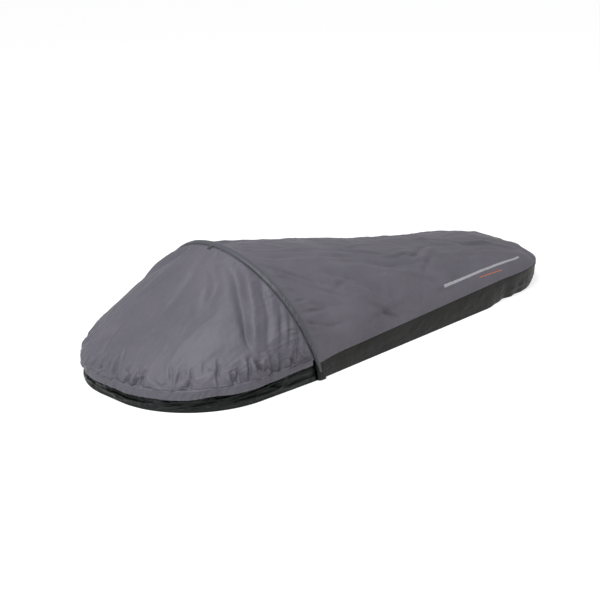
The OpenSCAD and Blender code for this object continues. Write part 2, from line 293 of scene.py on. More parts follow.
def cloth_mesh(name, p, n, material, thickness=CLOTH):
    """A closed sheet of cloth whose outer face is the grid p and whose inner face lies inwards along n."""
    rows, cols = p.shape[:2]
    count = rows * cols
    verts = np.concatenate([p.reshape(-1, 3), (p - n * thickness).reshape(-1, 3)])
    outer = grid_faces(rows, cols)
    inner = grid_faces(rows, cols, count)[:, ::-1]
    rim = list(range(cols))
    rim += [i * cols + cols - 1 for i in range(1, rows)]
    rim += [(rows - 1) * cols + j for j in range(cols - 2, -1, -1)]
    rim += [i * cols for i in range(rows - 2, 0, -1)]
    rim = np.array(rim)
    nxt = np.roll(rim, -1)
    edge = np.stack([nxt, rim, rim + count, nxt + count], -1)
    faces = np.concatenate([outer, inner, edge])
    i, j = rows // 2, cols // 2
    if (np.cross(p[i + 1, j + 1] - p[i, j], p[i, j + 1] - p[i + 1, j]) * n[i, j]).sum() > 0:
        faces = faces[:, ::-1]
    return mesh_object(name, verts, faces, material)


def mesh_object(name, verts, faces, material):
    """A smooth-shaded object in the scene from vertices and faces."""
    mesh = bpy.data.meshes.new(name)
    mesh.from_pydata([tuple(v) for v in verts], [], [tuple(f) for f in faces])
    mesh.update()
    mesh.polygons.foreach_set("use_smooth", [True] * len(mesh.polygons))
    obj = bpy.data.objects.new(name, mesh)
    bpy.context.scene.collection.objects.link(obj)
    obj.data.materials.append(material)
    return obj


def tube_faces(rings, sides):
    """Faces of a closed tube whose rings turn left about the way it runs, with both ends capped."""
    faces = [(i * sides + j, i * sides + k, (i + 1) * sides + k, (i + 1) * sides + j)
             for i in range(rings - 1) for j, k in zip(range(sides), [*range(1, sides), 0])]
    faces.append(tuple(range(sides - 1, -1, -1)))
    faces.append(tuple((rings - 1) * sides + j for j in range(sides)))
    return faces


def tube_parts(path, radius, sides):
    """Vertices and faces of a round tube along a path."""
    path = np.asarray(path, float)
    tangent = np.gradient(path, axis=0)
    tangent /= np.linalg.norm(tangent, axis=1, keepdims=True)
    side = np.cross(tangent, [0, 0, 1.0])
    side /= np.maximum(np.linalg.norm(side, axis=1, keepdims=True), 1e-9)
    other = np.cross(side, tangent)
    a = np.linspace(0, 2 * math.pi, sides, endpoint=False)[None, :, None]
    radius = np.broadcast_to(np.asarray(radius, float), (len(path),))
    ring = np.cos(a) * side[:, None, :] + np.sin(a) * other[:, None, :]
    verts = (path[:, None, :] + ring * radius[:, None, None]).reshape(-1, 3)
    # these rings turn right about the path, so each face is turned over and keeps its first corner
    return verts, [(face[0], *face[:0:-1]) for face in tube_faces(len(path), sides)]


def join_parts(name, parts, material):
    """One object from several lots of vertices and faces."""
    verts, faces, base = [], [], 0
    for v, f in parts:
        verts.append(v)
        faces += [tuple(i + base for i in q) for q in f]
        base += len(v)
    return mesh_object(name, np.concatenate(verts), faces, material)


def along(path, spacing):
    """Points and tangents at even spacing along a polyline."""
    path = np.asarray(path, float)
    seg = np.linalg.norm(np.diff(path, axis=0), axis=1)
    dist = np.concatenate([[0], np.cumsum(seg)])
    want = np.arange(spacing / 2, dist[-1], spacing)

    def at(where):
        return np.stack([np.interp(where, dist, path[:, i]) for i in range(3)], -1)

    t = at(want + spacing * 0.2) - at(want - spacing * 0.2)
    return at(want), t / np.maximum(np.linalg.norm(t, axis=1, keepdims=True), 1e-9)


STITCH_PITCH, STITCH_LENGTH, THREAD_R = 0.0052, 0.0034, 0.00045


def stitches(name, path, material):
    """A row of thread stitches that lie along a path, sunk half into the cloth."""
    pts, t = along(path, STITCH_PITCH)
    parts = []
    for p, d in zip(pts, t):
        half = d * STITCH_LENGTH / 2
        parts.append(tube_parts([p - half, p - half * 0.5, p + half * 0.5, p + half],
                                [THREAD_R * 0.4, THREAD_R, THREAD_R, THREAD_R * 0.4], 5))
    return join_parts(name, parts, material)


# ---- materials ----
class Graph:
    """Short calls for building a node material."""

    def __init__(self, name):
        self.material = bpy.data.materials.new(name)
        self.material.use_nodes = True
        self.tree = self.material.node_tree
        self.bsdf = self.tree.nodes["Principled BSDF"]

    def add(self, kind, **settings):
        node = self.tree.nodes.new(kind)
        for key, value in settings.items():
            if key in node.inputs:
                node.inputs[key].default_value = value
            else:
                setattr(node, key, value)
        return node

    def link(self, a, b):
        self.tree.links.new(a, b)

    def roughness_from(self, value, low, high):
        node = self.add("ShaderNodeMapRange")
        node.inputs["To Min"].default_value = low
        node.inputs["To Max"].default_value = high
        self.link(value, node.inputs["Value"])
        self.link(node.outputs["Result"], self.bsdf.inputs["Roughness"])

    def set(self, **values):
        for key, value in values.items():
            self.bsdf.inputs[key.replace("_", " ")].default_value = value


def math_node(g, operation, a, b):
    """One sum on two values, each a number or a node's output."""
    node = g.add("ShaderNodeMath", operation=operation)
    for slot, value in zip(node.inputs, (a, b)):
        if isinstance(value, (int, float)):
            slot.default_value = value
        else:
            g.link(value, slot)
    return node.outputs[0]


def noise(g, vector, scale, detail=3.0, roughness=0.5):
    """Cloudy noise from 0 to 1; scale is in spots per metre."""
    node = g.add("ShaderNodeTexNoise")
    node.inputs["Scale"].default_value = scale
    node.inputs["Detail"].default_value = detail
    node.inputs["Roughness"].default_value = roughness
    g.link(vector, node.inputs["Vector"])
    return node.outputs["Fac"]


def ramp(g, value, low, high, at=(0.0, 1.0)):
    """A colour that runs from low to high while value runs between the two places in at."""
    node = g.add("ShaderNodeValToRGB")
    node.color_ramp.elements[0].color = (*low, 1)
    node.color_ramp.elements[1].color = (*high, 1)
    node.color_ramp.elements[0].position, node.color_ramp.elements[1].position = at
    g.link(value, node.inputs["Fac"])
    return node.outputs["Color"]


def bump(g, height, strength, distance, before=None):
    """A normal bent by a height map, on top of an earlier one."""
    node = g.add("ShaderNodeBump")
    node.inputs["Strength"].default_value = strength
    node.inputs["Distance"].default_value = distance
    g.link(height, node.inputs["Height"])
    if before is not None:
        g.link(before, node.inputs["Normal"])
    return node.outputs["Normal"]


def threads(g, vector, pitch, direction):
    """Thread ridges across one direction of the cloth."""
    node = g.add("ShaderNodeTexWave", bands_direction=direction, wave_profile="SIN")
    node.inputs["Scale"].default_value = 0.314 / pitch
    node.inputs["Distortion"].default_value = 0.4
    node.inputs["Detail"].default_value = 1.0
    g.link(vector, node.inputs["Vector"])
    return node.outputs["Fac"]


CLOTH_THREADS = 0.0011     # pitch of the cloth's weave


def coated_nylon(name, dark, light, roughness, sheen, dust=0.0, shine_level=0.35):
    """Fine coated nylon: weave, small crinkles, mottled tone and a soft sheen."""
    g = Graph(name)
    where = g.add("ShaderNodeTexCoord").outputs["Object"]
    blotch = noise(g, where, 5.0, 4.0, 0.55)
    fine = noise(g, where, 90.0, 5.0, 0.6)
    tone = math_node(g, "ADD", math_node(g, "MULTIPLY", blotch, 0.75), math_node(g, "MULTIPLY", fine, 0.25))
    g.link(ramp(g, tone, dark, light, (0.32, 0.68)), g.bsdf.inputs["Base Color"])
    g.roughness_from(fine, roughness - 0.06, roughness + 0.06 + dust)
    across, along_x, up = (threads(g, where, CLOTH_THREADS, axis) for axis in "XZY")
    weave = math_node(g, "MAXIMUM", math_node(g, "MAXIMUM", across, along_x), up)
    normal = bump(g, weave, 0.12, 0.0004)
    normal = bump(g, noise(g, where, 38.0, 6.0, 0.62), 0.25, 0.004, normal)      # small crinkles
    normal = bump(g, noise(g, where, 8.0, 3.0, 0.5), 0.30, 0.03, normal)         # soft dents
    g.link(normal, g.bsdf.inputs["Normal"])
    g.set(Sheen_Weight=sheen, Sheen_Roughness=0.45, Specular_IOR_Level=shine_level)
    return g.material


def plain(name, colour, roughness, metallic=0.0, grain=160.0, depth=0.15):
    """Moulded plastic, painted metal or thread, with a fine grain and worn roughness."""
    g = Graph(name)
    where = g.add("ShaderNodeTexCoord").outputs["Object"]
    spots = noise(g, where, grain, 4.0, 0.6)
    dark = tuple(c * 0.8 for c in colour)
    light = tuple(min(1.0, c * 1.25 + 0.004) for c in colour)
    g.link(ramp(g, spots, dark, light, (0.3, 0.7)), g.bsdf.inputs["Base Color"])
    g.roughness_from(spots, max(0.05, roughness - 0.1), roughness + 0.12)
    g.link(bump(g, spots, depth, 0.0005), g.bsdf.inputs["Normal"])
    g.set(Metallic=metallic)
    return g.material


def woven_band(name, colour, pitch):
    """Narrow woven tape or webbing with strong ribs."""
    g = Graph(name)
    where = g.add("ShaderNodeTexCoord").outputs["Object"]
    ribs = math_node(g, "MAXIMUM", threads(g, where, pitch, "X"), threads(g, where, pitch, "Y"))
    fuzz = noise(g, where, 220.0, 3.0)
    # colour lighter on the rib crests and darker between them: painted shade in the weave's grooves, with random
    # fuzz tone on top
    g.link(ramp(g, math_node(g, "MULTIPLY", ribs, fuzz), tuple(c * 0.6 for c in colour),
                tuple(c * 1.5 for c in colour)), g.bsdf.inputs["Base Color"])
    g.link(bump(g, ribs, 0.5, 0.0005), g.bsdf.inputs["Normal"])
    g.set(Roughness=0.85, Sheen_Weight=0.2)
    return g.material


SHELL = coated_nylon("shell_nylon", (0.067, 0.0625, 0.0755), (0.0895, 0.0830, 0.0995), 0.56, 0.02,
                     shine_level=0.24)
SLEEVE = coated_nylon("sleeve_nylon", (0.041, 0.042, 0.049), (0.053, 0.054, 0.063), 0.54, 0.04)
TUB = coated_nylon("tub_nylon", (0.0075, 0.0075, 0.0068), (0.0122, 0.0121, 0.0108), 0.50, 0.0,
                   dust=0.06, shine_level=0.18)
# the head wall's nylon is darker than the tub's: painted shade for the wall that lies under the hood's hem
TUB_HEAD_PAINTED_SHADE = coated_nylon("tub_head_nylon_painted_shade", (0.0026, 0.0037, 0.0035), (0.0055, 0.0074, 0.0068), 0.40, 0.0,
                        shine_level=0.20)
THREAD_GREY = plain("thread_grey", (0.13, 0.125, 0.135), 0.7)
THREAD_DARK = plain("thread_dark", (0.03, 0.03, 0.03), 0.7)
WEBBING = woven_band("webbing", (0.012, 0.012, 0.012), 0.0016)
TAPE = woven_band("zip_tape", (0.012, 0.012, 0.012), 0.0012)
COIL = plain("zip_coil_nylon", (0.012, 0.012, 0.013), 0.3)
ALLOY = plain("pole_alloy", (0.62, 0.63, 0.66), 0.3, metallic=1.0, grain=400.0, depth=0.03)
FERRULE = plain("ferrule_alloy", (0.5, 0.5, 0.52), 0.35, metallic=1.0, grain=400.0, depth=0.03)
ELASTIC = woven_band("elastic_cord", (0.03, 0.03, 0.03), 0.0009)
TIP = plain("tip_plastic", (0.02, 0.02, 0.021), 0.5)
ZIP_METAL = plain("zip_metal", (0.04, 0.04, 0.045), 0.35, metallic=0.7)
GRIP = plain("puller_grip", (0.012, 0.012, 0.012), 0.6)
REFLECTIVE = plain("reflective_print", (0.24, 0.24, 0.25), 0.4, grain=500.0, depth=0.05)
ACCENT = plain("orange_print", (0.45, 0.10, 0.02), 0.5, grain=500.0, depth=0.05)

# points inside the bag and the hood, to tell which way is out
BAG_CENTRE = np.array([HOOP_X + 0.3, 0, 0.0])
HOOD_CENTRE = np.array([HOOP_X - 0.1, 0, 0.0])


def finish_piece(piece, body, slot, *nodes):
    """Hides the nodes that a piece replaces and hangs it from its body's empty; a hood piece is only baked in
    place. slot is not used.
    """
    if nodes:
        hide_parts(*nodes)
    if body == "hood":
        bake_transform(piece)
    else:
        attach(piece, body)
    return piece


# ---- samples on a finished grid ----
def on_grid(p, r, c):
    """Points of a grid at fractional rows and columns."""
    r, c = np.asarray(r, float), np.asarray(c, float)
    i = np.clip(r.astype(int), 0, p.shape[0] - 2)
    j = np.clip(c.astype(int), 0, p.shape[1] - 2)
    fr, fc = (r - i)[..., None], (c - j)[..., None]
    return mix(mix(p[i, j], p[i + 1, j], fr), mix(p[i, j + 1], p[i + 1, j + 1], fr), fc)


def row_at(values, want):
    """Fractional row of each column where values, rising down the rows, reaches want."""
    want = np.broadcast_to(want, values.shape[1:])
    i = np.clip((values < want).sum(0) - 1, 0, values.shape[0] - 2)
    j = np.arange(values.shape[1])
    a, b = values[i, j], values[i + 1, j]
    return i + np.clip((want - a) / np.maximum(b - a, 1e-9), 0, 1)


def length_down(p):
    """Length down each column of a grid, from its first row."""
    step = np.linalg.norm(np.diff(p, axis=0), axis=-1)
    return np.concatenate([np.zeros((1, p.shape[1])), np.cumsum(step, axis=0)])


def hem_place(p, hem):
    """Length along the hem to the nearest point of it in plan, from its middle."""
    run = np.concatenate([[0], np.cumsum(np.linalg.norm(np.diff(hem[:, :2], axis=0), axis=1))])
    out = np.empty(p.shape[:2])
    for i, row in enumerate(p):
        gap = ((row[:, None, :2] - hem[None, :, :2]) ** 2).sum(-1)
        out[i] = run[gap.argmin(1)]
    spread = 6                     # columns on each side that the result is averaged over
    padded = np.pad(out, ((0, 0), (spread, spread)), mode="edge")
    out = sum(padded[:, i:i + out.shape[1]] for i in range(2 * spread + 1)) / (2 * spread + 1)
    return out - run[-1] / 2


def random_creases(a, b, count, a_range, b_range, length, slope, width, depth, seed):
    """Many short creases that start near b_range and run down b by about length."""
    rng = np.random.default_rng(seed)
    total = np.zeros_like(a)
    for _ in range(count):
        a0, b0 = rng.uniform(*a_range), rng.uniform(*b_range)
        run = length * rng.uniform(0.5, 1.3)
        w = width * rng.uniform(0.7, 1.4)
        reach = np.abs(a - a0) < run * abs(slope) * 1.5 + 5 * w + 0.02
        reach &= np.abs(b - b0) < run + 5 * w + 0.01
        end = (a0 + run * slope * rng.uniform(-1, 1), b0 + run)
        total[reach] += crease(a[reach], b[reach], (a0, b0), end, w, depth * rng.uniform(0.4, 1.2))
    return total


# ---- body panel ----
BODY_ROWS, BODY_COLS = 330, 260
BODY_CREASES = [           # (along the bag, across from its middle): start, end, width, depth
    ((0.00, -0.20), (0.16, -0.30), 0.012, 0.011),
    ((-0.01, -0.39), (0.08, -0.36), 0.006, 0.006),
    ((-0.01, -0.43), (0.14, -0.40), 0.008, 0.008),
    ((-0.01, -0.46), (0.13, -0.47), 0.008, 0.008),
    ((0.01, -0.50), (0.21, -0.45), 0.010, 0.006),
    ((0.03, -0.05), (0.42, -0.13), 0.010, 0.007),
    ((0.02, -0.14), (0.41, -0.16), 0.010, 0.007),
    ((0.01, -0.10), (0.26, -0.12), 0.007, 0.005),
    ((0.20, -0.24), (0.48, -0.39), 0.020, 0.011),
    ((0.32, -0.19), (0.71, -0.25), 0.016, 0.009),
    ((0.47, -0.23), (0.80, -0.21), 0.014, 0.007),
    ((0.68, -0.19), (0.94, -0.08), 0.014, 0.008),
    ((0.01, 0.03), (0.64, 0.02), 0.016, 0.003),
    ((0.01, 0.12), (0.35, 0.19), 0.016, 0.003),
    ((0.01, 0.24), (0.20, 0.36), 0.016, 0.005),
    ((0.42, -0.20), (0.82, -0.36), 0.028, 0.004),
    ((0.64, -0.12), (1.00, -0.24), 0.028, 0.004),
    ((0.30, 0.22), (0.70, 0.38), 0.028, 0.004),
    ((0.70, 0.12), (1.05, 0.28), 0.028, 0.004),
    ((0.90, -0.30), (1.12, -0.16), 0.022, 0.004),
    ((1.02, 0.26), (1.20, 0.12), 0.022, 0.004),
]
SEAM_INSET = 0.0045        # from the panel's lower edge to its stitching
PRINT_LIFT, PRINT_T = 0.0003, 0.0004     # how far a print stands off the cloth, and how thick it is


def body_panel():
    """The grey panel from the hoop to the foot, with its seam stitches and two plain printed bars."""
    p = body_grid(BODY_ROWS, BODY_COLS)
    t = np.linspace(0, 1, BODY_ROWS)[:, None] + np.zeros((1, BODY_COLS))
    across = length_down(p.transpose(1, 0, 2)).T
    girth = across[:, -1:] + 1e-6
    b = across - girth / 2
    a = t / STRAIGHT_SHARE * FOOT_START
    side = np.minimum(across, girth - across)
    edge = ease(side / 0.05) * ease(a / 0.03)
    rise = 0.0040 * noise2(a * 3.0, b * 4.0, 3)
    rise += 0.0042 * folds(a * 1.7 + b * 0.5, b * 13.0 - a * 2.0, 7) * np.exp(-a / 0.9)
    rise += 0.0085 * folds(a * 3.4 + b * 1.0, b * 7.0, 5)
    rise += 0.0042 * folds(a * 9.0 - b * 3.0, b * 13.0, 9)
    rise += 0.0009 * folds(a * 24.0, b * 30.0, 11)
    for start, end, width, depth in BODY_CREASES:
        rise += crease(a, b, start, end, width, depth)
    rise += random_creases(b, a, 26, (-0.55, 0.55), (0.008, 0.02), 0.06, 0.8, 0.006, 0.0035, 15)
    slack = 1 - 0.8 * np.exp(-((b - 0.05) / 0.16) ** 2)      # the ridge is taut
    rise += slack * random_creases(b, a, 40, (-0.56, 0.52), (0.02, 0.55), 0.22, 0.5, 0.010, 0.0085, 17)
    rise += slack * random_creases(b, a, 28, (-0.46, 0.42), (0.60, 1.10), 0.18, 0.9, 0.014, 0.0080, 19)
    rise *= edge
    rise += 0.0018 * np.exp(-side / 0.035) * ease(side / 0.006) * noise2(a * 45.0, side * 20.0, 21)
    end_folds = ease((t - STRAIGHT_SHARE) / 0.1) * np.exp(-side / 0.05) * ease(side / 0.008)
    rise += 0.0035 * end_folds * noise2(t * 60.0, b * 6.0, 23)
    rise *= ease((1 - t) / 0.03)
    n = outward(p, np.array([0.3, 0, 0]))
    p = p + n * rise[..., None]
    p[-1, :, 2] -= 0.0015          # the last row goes into the foot wall's seam
    p = to_row(p)
    n = outward(p, BAG_CENTRE)
    panel = cloth_mesh("body_panel", p, n, SHELL)
    finish_piece(panel, "bag", "shell_cloth", "top_panel", "foot_panel")
    across = length_down(p.transpose(1, 0, 2))
    rows = np.arange(BODY_ROWS)
    for name, want in (("right", SEAM_INSET), ("left", across[-1] - SEAM_INSET)):
        columns = row_at(across, want)
        path = on_grid(p, rows, columns) + on_grid(n, rows, columns) * THREAD_LIFT
        row = stitches("seam_stitch_" + name, path[3:int(BODY_ROWS * 0.95)], THREAD_GREY)
        finish_piece(row, "bag", "shell_cloth")
    printed_bar("reflective_bar", p, n, (166, 25), (262, 34), 4.6, REFLECTIVE)
    printed_bar("orange_bar", p, n, (212, 21), (244, 20), 1.2, ACCENT)


def printed_bar(name, p, n, start, end, height, material):
    """A thin print on the body panel from one (row, column) of its grid to another, height columns tall."""
    u, v = np.meshgrid(np.linspace(0, 1, 160), np.linspace(0, height, 8), indexing="ij")
    r, c = mix(start[0], end[0], u), mix(start[1], end[1], u) + v
    q, m = on_grid(p, r, c), on_grid(n, r, c)
    bar = cloth_mesh(name, q + m * PRINT_LIFT, m, material, thickness=PRINT_T)
    return finish_piece(bar, "bag", "shell_cloth")


# ---- storm hood ----
HOOD_COLS, STRIP_ROWS = 620, 26
HEM_LENGTH, SLEEVE_ARC, HOOD_DROP = 2.0, 1.26, 0.55    # round the hem, round the sleeve, sleeve to hem
HEM_BAND = 0.032           # from the hem's lower edge up to its seam
HOOD_CREASES = [           # (round the hood, sleeve to hem): start, end, width, depth
    ((0.47, 0.005), (0.36, 0.48), 0.024, 0.011),
    ((0.505, 0.005), (0.47, 0.56), 0.022, 0.008),
    ((0.545, 0.005), (0.58, 0.56), 0.020, 0.007),
]
HANGING_FOLDS = [          # (along the hem from its middle, height), on both sides: start, end, width, depth
    ((-0.73, 0.43), (-0.58, 0.19), 0.014, 0.030),
    ((-0.72, 0.40), (-0.64, 0.27), 0.010, 0.006),
    ((-0.76, 0.37), (-0.64, 0.16), 0.012, 0.014),
    ((-0.76, 0.32), (-0.67, 0.17), 0.010, 0.005),
    ((-0.78, 0.31), (-0.70, 0.15), 0.011, 0.010),
    ((-0.79, 0.26), (-0.74, 0.15), 0.008, 0.005),
    ((-0.81, 0.22), (-0.77, 0.11), 0.008, 0.006),
]


def hood_grid():
    """Points on the hood and its hem strip, rows from the sleeve to the hem's lower edge."""
    k = np.linspace(0, 1, HOOD_COLS)[None, :]
    s = np.concatenate([np.linspace(0, 0.84, 90), np.linspace(0.84, 1, 46)[1:]])[:, None]
    main = hood_point(k + 0 * s, s + 0 * k)
    x, y = hem_plan(k)
    f = np.linspace(0, 1, STRIP_ROWS + 1)[1:, None]
    strip = np.stack([x + 0 * f, y + 0 * f, mix(HOOD_LOW, flap_low(k), f)], -1)
    return np.concatenate([main, strip]), k, np.concatenate([s, 1 + 0.05 * f])


def on_hood(k, s):
    """Lengths along and down the hood's cloth."""
    return (k - 0.5) * mix(SLEEVE_ARC, HEM_LENGTH, s), s * HOOD_DROP


def storm_hood():
    """The grey hood and its hem strip, gathered above the hem, with its rows of hem stitches."""
    p, k, s = hood_grid()
    kk = k + 0 * s
    down = length_down(p)
    up = down[-1:] - down
    a = on_hood(kk, clamp01(s))[0]
    side = np.minimum(kk, 1 - kk)
    edge = ease(down / 0.02) * ease(side / 0.02)
    above = np.maximum(0, up - HEM_BAND)
    rise = 0.004 * noise2(a * 5.0, down * 5.0, 31)
    rise += 0.005 * folds(a * 7.0, down * 2.6, 33) * ease(above / 0.1)
    rise += 0.0025 * folds(a * 17.0, down * 8.0, 35) * ease(above / 0.04)
    rise += 0.0010 * folds(a * 40.0, down * 18.0, 36) * ease(above / 0.01)
    for start, end, width, depth in HOOD_CREASES:
        rise += crease(a, down, on_hood(*start), on_hood(*end), width, depth)
    place = hem_place(p, p[-1])
    for start, end, width, depth in HANGING_FOLDS:
        rise += crease(place, p[..., 2], start, end, width, depth)
        rise += 0.8 * crease(-place, p[..., 2], start, end, width * 1.2, depth)
    height = p[..., 2] - flap_low(kk) - HEM_BAND
    lively = mix(1.0, 0.5, ease((place + 0.05) / 0.25)) * mix(1.0, 0.75, ease((-place - 0.75) / 0.2))
    whole = (-0.98, 0.98)
    rise += lively * random_creases(place, height, 90, whole, (-0.004, 0.002), 0.060, 0.45, 0.0085, 0.0115, 41)
    rise += lively * random_creases(place, height, 40, whole, (0.012, 0.07), 0.070, 0.6, 0.0085, 0.0080, 43)
    reach = 0.052 * (1 + 0.7 * noise2(place * 9.0, 0 * place, 53))
    waver = 0.8 * noise2(place * 30.0, height * 25.0, 55)
    gathers = 0.0130 * folds(place * 19.0 + waver, height * 9.0, 51)
    rise += lively * gathers * np.exp(-(np.maximum(0, height) / reach) ** 1.6)
    rise += random_creases(a, down, 40, (-0.60, 0.60), (0.002, 0.006), 0.050, 0.5, 0.0045, 0.0025, 45)
    rise *= edge
    in_band = 1 - ease((up - HEM_BAND + 0.0015) / 0.003)
    band = 0.0030 * noise2(a * 12.0, 0 * a, 47) + 0.0038 * folds(a * 34.0 + up * 20.0, up * 14.0, 49)
    rise = mix(rise, band * edge, in_band)
    rise += 0.0009 * in_band - 0.0018 * np.exp(-((up - HEM_BAND) / 0.0018) ** 2)
    n = outward(p, np.array([-0.2, 0, 0]))
    p = p + n * rise[..., None]
    p[..., 2] += 0.0040 * noise2(a * 8.0, 0 * a, 57) * ease((0.05 - up) / 0.05) * edge
    p = to_row(p)
    n = outward(p, HOOD_CENTRE)
    hood = cloth_mesh("storm_hood", p, n, SHELL)
    finish_piece(hood, "hood", "shell_cloth", "hood_panel", "storm_flap")
    columns = np.arange(HOOD_COLS)
    for name, height in (("seam", HEM_BAND - 0.0035), ("edge", 0.004)):
        r = row_at(down, down[-1] - height)
        path = on_grid(p, r, columns) + on_grid(n, r, columns) * THREAD_LIFT
        row = stitches("hem_stitch_" + name, path[2:-2], THREAD_GREY)
        finish_piece(row, "hood", "shell_cloth")


# ---- floor and walls ----
def wall_piece(name, bottom, top, profile, seed, material, *nodes, pleats, flat):
    """A wall between two plan outlines; profile has shares of height and lean, and the bulge, up it."""
    (xb, yb, zb), (xt, yt, zt) = bottom, top
    share, lean, bulge = (np.asarray(part)[:, None] for part in profile)
    p = np.stack([mix(xb, xt, lean), mix(yb, yt, lean), mix(zb, zt, share) + 0 * xb], -1)
    n = outward(p, p.reshape(-1, 3).mean(0) * np.array([1, 0, 1]))
    run = np.concatenate([[0], np.cumsum(np.linalg.norm(np.diff(p[0], axis=0), axis=1))])[None, :]
    soft = np.sin(math.pi * clamp01(share)) ** 0.7
    rise = 0.0022 * folds(run * 9.0, share * 2.2, seed) + 0.0020 * noise2(run * 6.0, share, seed + 5)
    rise += 0.0014 * folds(run * 26.0, share * 4.0, seed + 7)
    near_hoop = np.exp(-np.minimum(run, run[:, -1:] - run) / 0.05)
    rise += 0.0055 * near_hoop * folds(run * 55.0, share * 1.5, seed + 9)
    rise += pleats(run, share)
    rise = bulge + soft * rise
    p = to_row(p + n * rise[..., None])
    centre = p.reshape(-1, 3).mean(0) * np.array([1, 0, 1])
    wall = cloth_mesh(name, p, outward(p, centre), material)
    finish_piece(wall, "bag", "floor_cloth", *nodes)


def foot_pleats(run, share):
    """Slack folds where the wall turns round the foot."""
    middle = run[:, -1:] / 2
    turn = np.exp(-((np.abs(run - middle) - 0.30) / 0.16) ** 2)
    return 0.0075 * turn * folds(run * 16.0 + share * 3.0, share * 1.6, 65)


def head_pleats(run, share):
    """Long slack wrinkles that lie along the head wall, and short ones that cross it."""
    return 0.0115 * folds(run * 8.0 + share * 2.5, share * 3.4, 75) \
        + 0.0052 * folds(run * 24.0, share * 3.0, 77) - 0.0032


def tub_outline(hoop_half, foot_half, inset):
    """Plan of the tub from the near hoop foot round the foot end to the far hoop foot."""
    x = np.linspace(WALL_GAP, FOOT_START, 260)
    y = side_half(x, hoop_half, foot_half)
    xf, yf = foot_plan(np.linspace(0, 1, 200), foot_half, inset)
    yf = yf * foot_half / (foot_half - inset)
    return (np.concatenate([x[:-1], xf, x[::-1][1:]]), np.concatenate([-y[:-1], yf, y[::-1][1:]]))


def tub_floor_outline():
    """Plan of the tub's lower edge, drawn in under the foot where the empty bag sags over it."""
    x, y = tub_outline(FLOOR_HALF, FLOOR_FOOT_HALF, 0.0)
    tuck = 0.024 * ease((x - FOOT_START + 0.12) / 0.14) * (1 + 0.30 * noise2(x * 22.0, y * 22.0, 63))
    return x - tuck * clamp01((x - FOOT_START) / 0.2), y * (1 - tuck / FLOOR_FOOT_HALF)


# the head wall stands, rolls in above the floor's edge, and rises to the zip: (height share, value) up it
HEAD_LEAN = ((0, 0), (0.1, 0), (0.2, 0.02), (0.3, 0.08), (0.36, 0.3), (0.42, 0.5), (0.5, 0.62), (0.6, 0.7),
             (0.7, 0.8), (0.85, 0.9), (1, 1))
HEAD_BULGE = ((0, 0), (0.05, 0.001), (0.1, 0.001), (0.2, 0.002), (0.3, 0.003), (0.36, 0), (0.42, -0.001),
              (0.5, 0), (0.7, 0.001), (0.85, 0))


def walls():
    """The tub's side and foot walls in one band, and its head wall."""
    xb, yb = tub_floor_outline()
    xt, yt = tub_outline(WALL_HALF, WALL_FOOT_HALF, WALL_INSET)
    top_z = wall_height(xt)
    seam = body_section(xt, side_half(xt, WALL_HALF, WALL_FOOT_HALF), top_z, ridge(xt), 0.0)
    straight = xt < FOOT_START - 1e-6      # there the wall's top follows the body panel's edge
    xt, yt = np.where(straight, seam[:, 0], xt), np.where(straight, np.sign(yt) * np.abs(seam[:, 1]), yt)
    q = np.linspace(0, 1, 26)
    wall_piece("tub_wall", (xb, yb, TUB_LOW), (xt, yt, top_z), (q, q ** 0.8, 0.004 * np.sin(math.pi * q)), 61,
               TUB, "side_wall_right", "side_wall_left", "foot_wall", pleats=foot_pleats, flat=(0.090, 3.20))
    t = np.linspace(0, 1, 520)
    xb, yb = head_plan(t, HEAD_LEN, FLOOR_HALF, HEAD_CORNER, 0.0)
    xt, yt = head_plan(t, ZIP_FRONT, ZIP_HALF, ZIP_CORNER, 0.0)
    q = np.linspace(0, 1, 34)
    lean, bulge = np.interp(q, *zip(*HEAD_LEAN)), np.interp(q, *zip(*HEAD_BULGE))
    # the head wall takes the darker nylon, whose colour carries painted shade
    wall_piece("tub_head", (xb, yb, TUB_LOW), (xt, yt, HEAD_TOP_Z), (q, lean, bulge), 71,
               TUB_HEAD_PAINTED_SHADE, "head_wall", pleats=head_pleats, flat=(0.080, 1.60))


FLOOR_T = 0.001            # visible thickness of the floor


def floor_sheet():
    """The floor: a sheet inside the bag's outline, a little uneven inside and flat at its edge."""
    head = np.stack(head_plan(np.linspace(0, 1, 162), HEAD_LEN, FLOOR_HALF, HEAD_CORNER, 0.0), -1)
    foot = np.stack(tub_floor_outline(), -1)
    sides = []                     # the outline's near and far half, each from the head's tip to the foot's
    for around_head, around_foot in ((head, foot), (head[::-1], foot[::-1])):
        half = np.concatenate([around_head[:len(head) // 2][::-1], around_foot[:len(foot) // 2]])
        sides.append(half[:, None])
    share = np.linspace(0, 1, 60)[None, :, None]
    plan = mix(*sides, share)
    front = np.flatnonzero(plan[:, 0, 0] < plan[..., 0].min() + 1e-5).max()
    plan = plan[front:]            # the front edge is straight, so it is one row
    x, y = plan[..., 0], plan[..., 1]
    side = np.minimum(share, 1 - share)[..., 0] * (y[:, -1:] - y[:, :1])
    inside = ease(np.minimum(side, np.minimum(x - x.min(), x.max() - x)) / 0.04)
    lift = 0.0016 + 0.0012 * folds(x * 8, y * 8, 81) * inside
    p = to_row(np.stack([x, y, np.maximum(lift, FLOOR_T + 0.0001)], -1))
    up = np.zeros_like(p)
    up[..., 2] = 1
    floor = cloth_mesh("tub_floor", p, up, TUB, thickness=FLOOR_T)
    finish_piece(floor, "bag", "floor_cloth", "groundsheet")


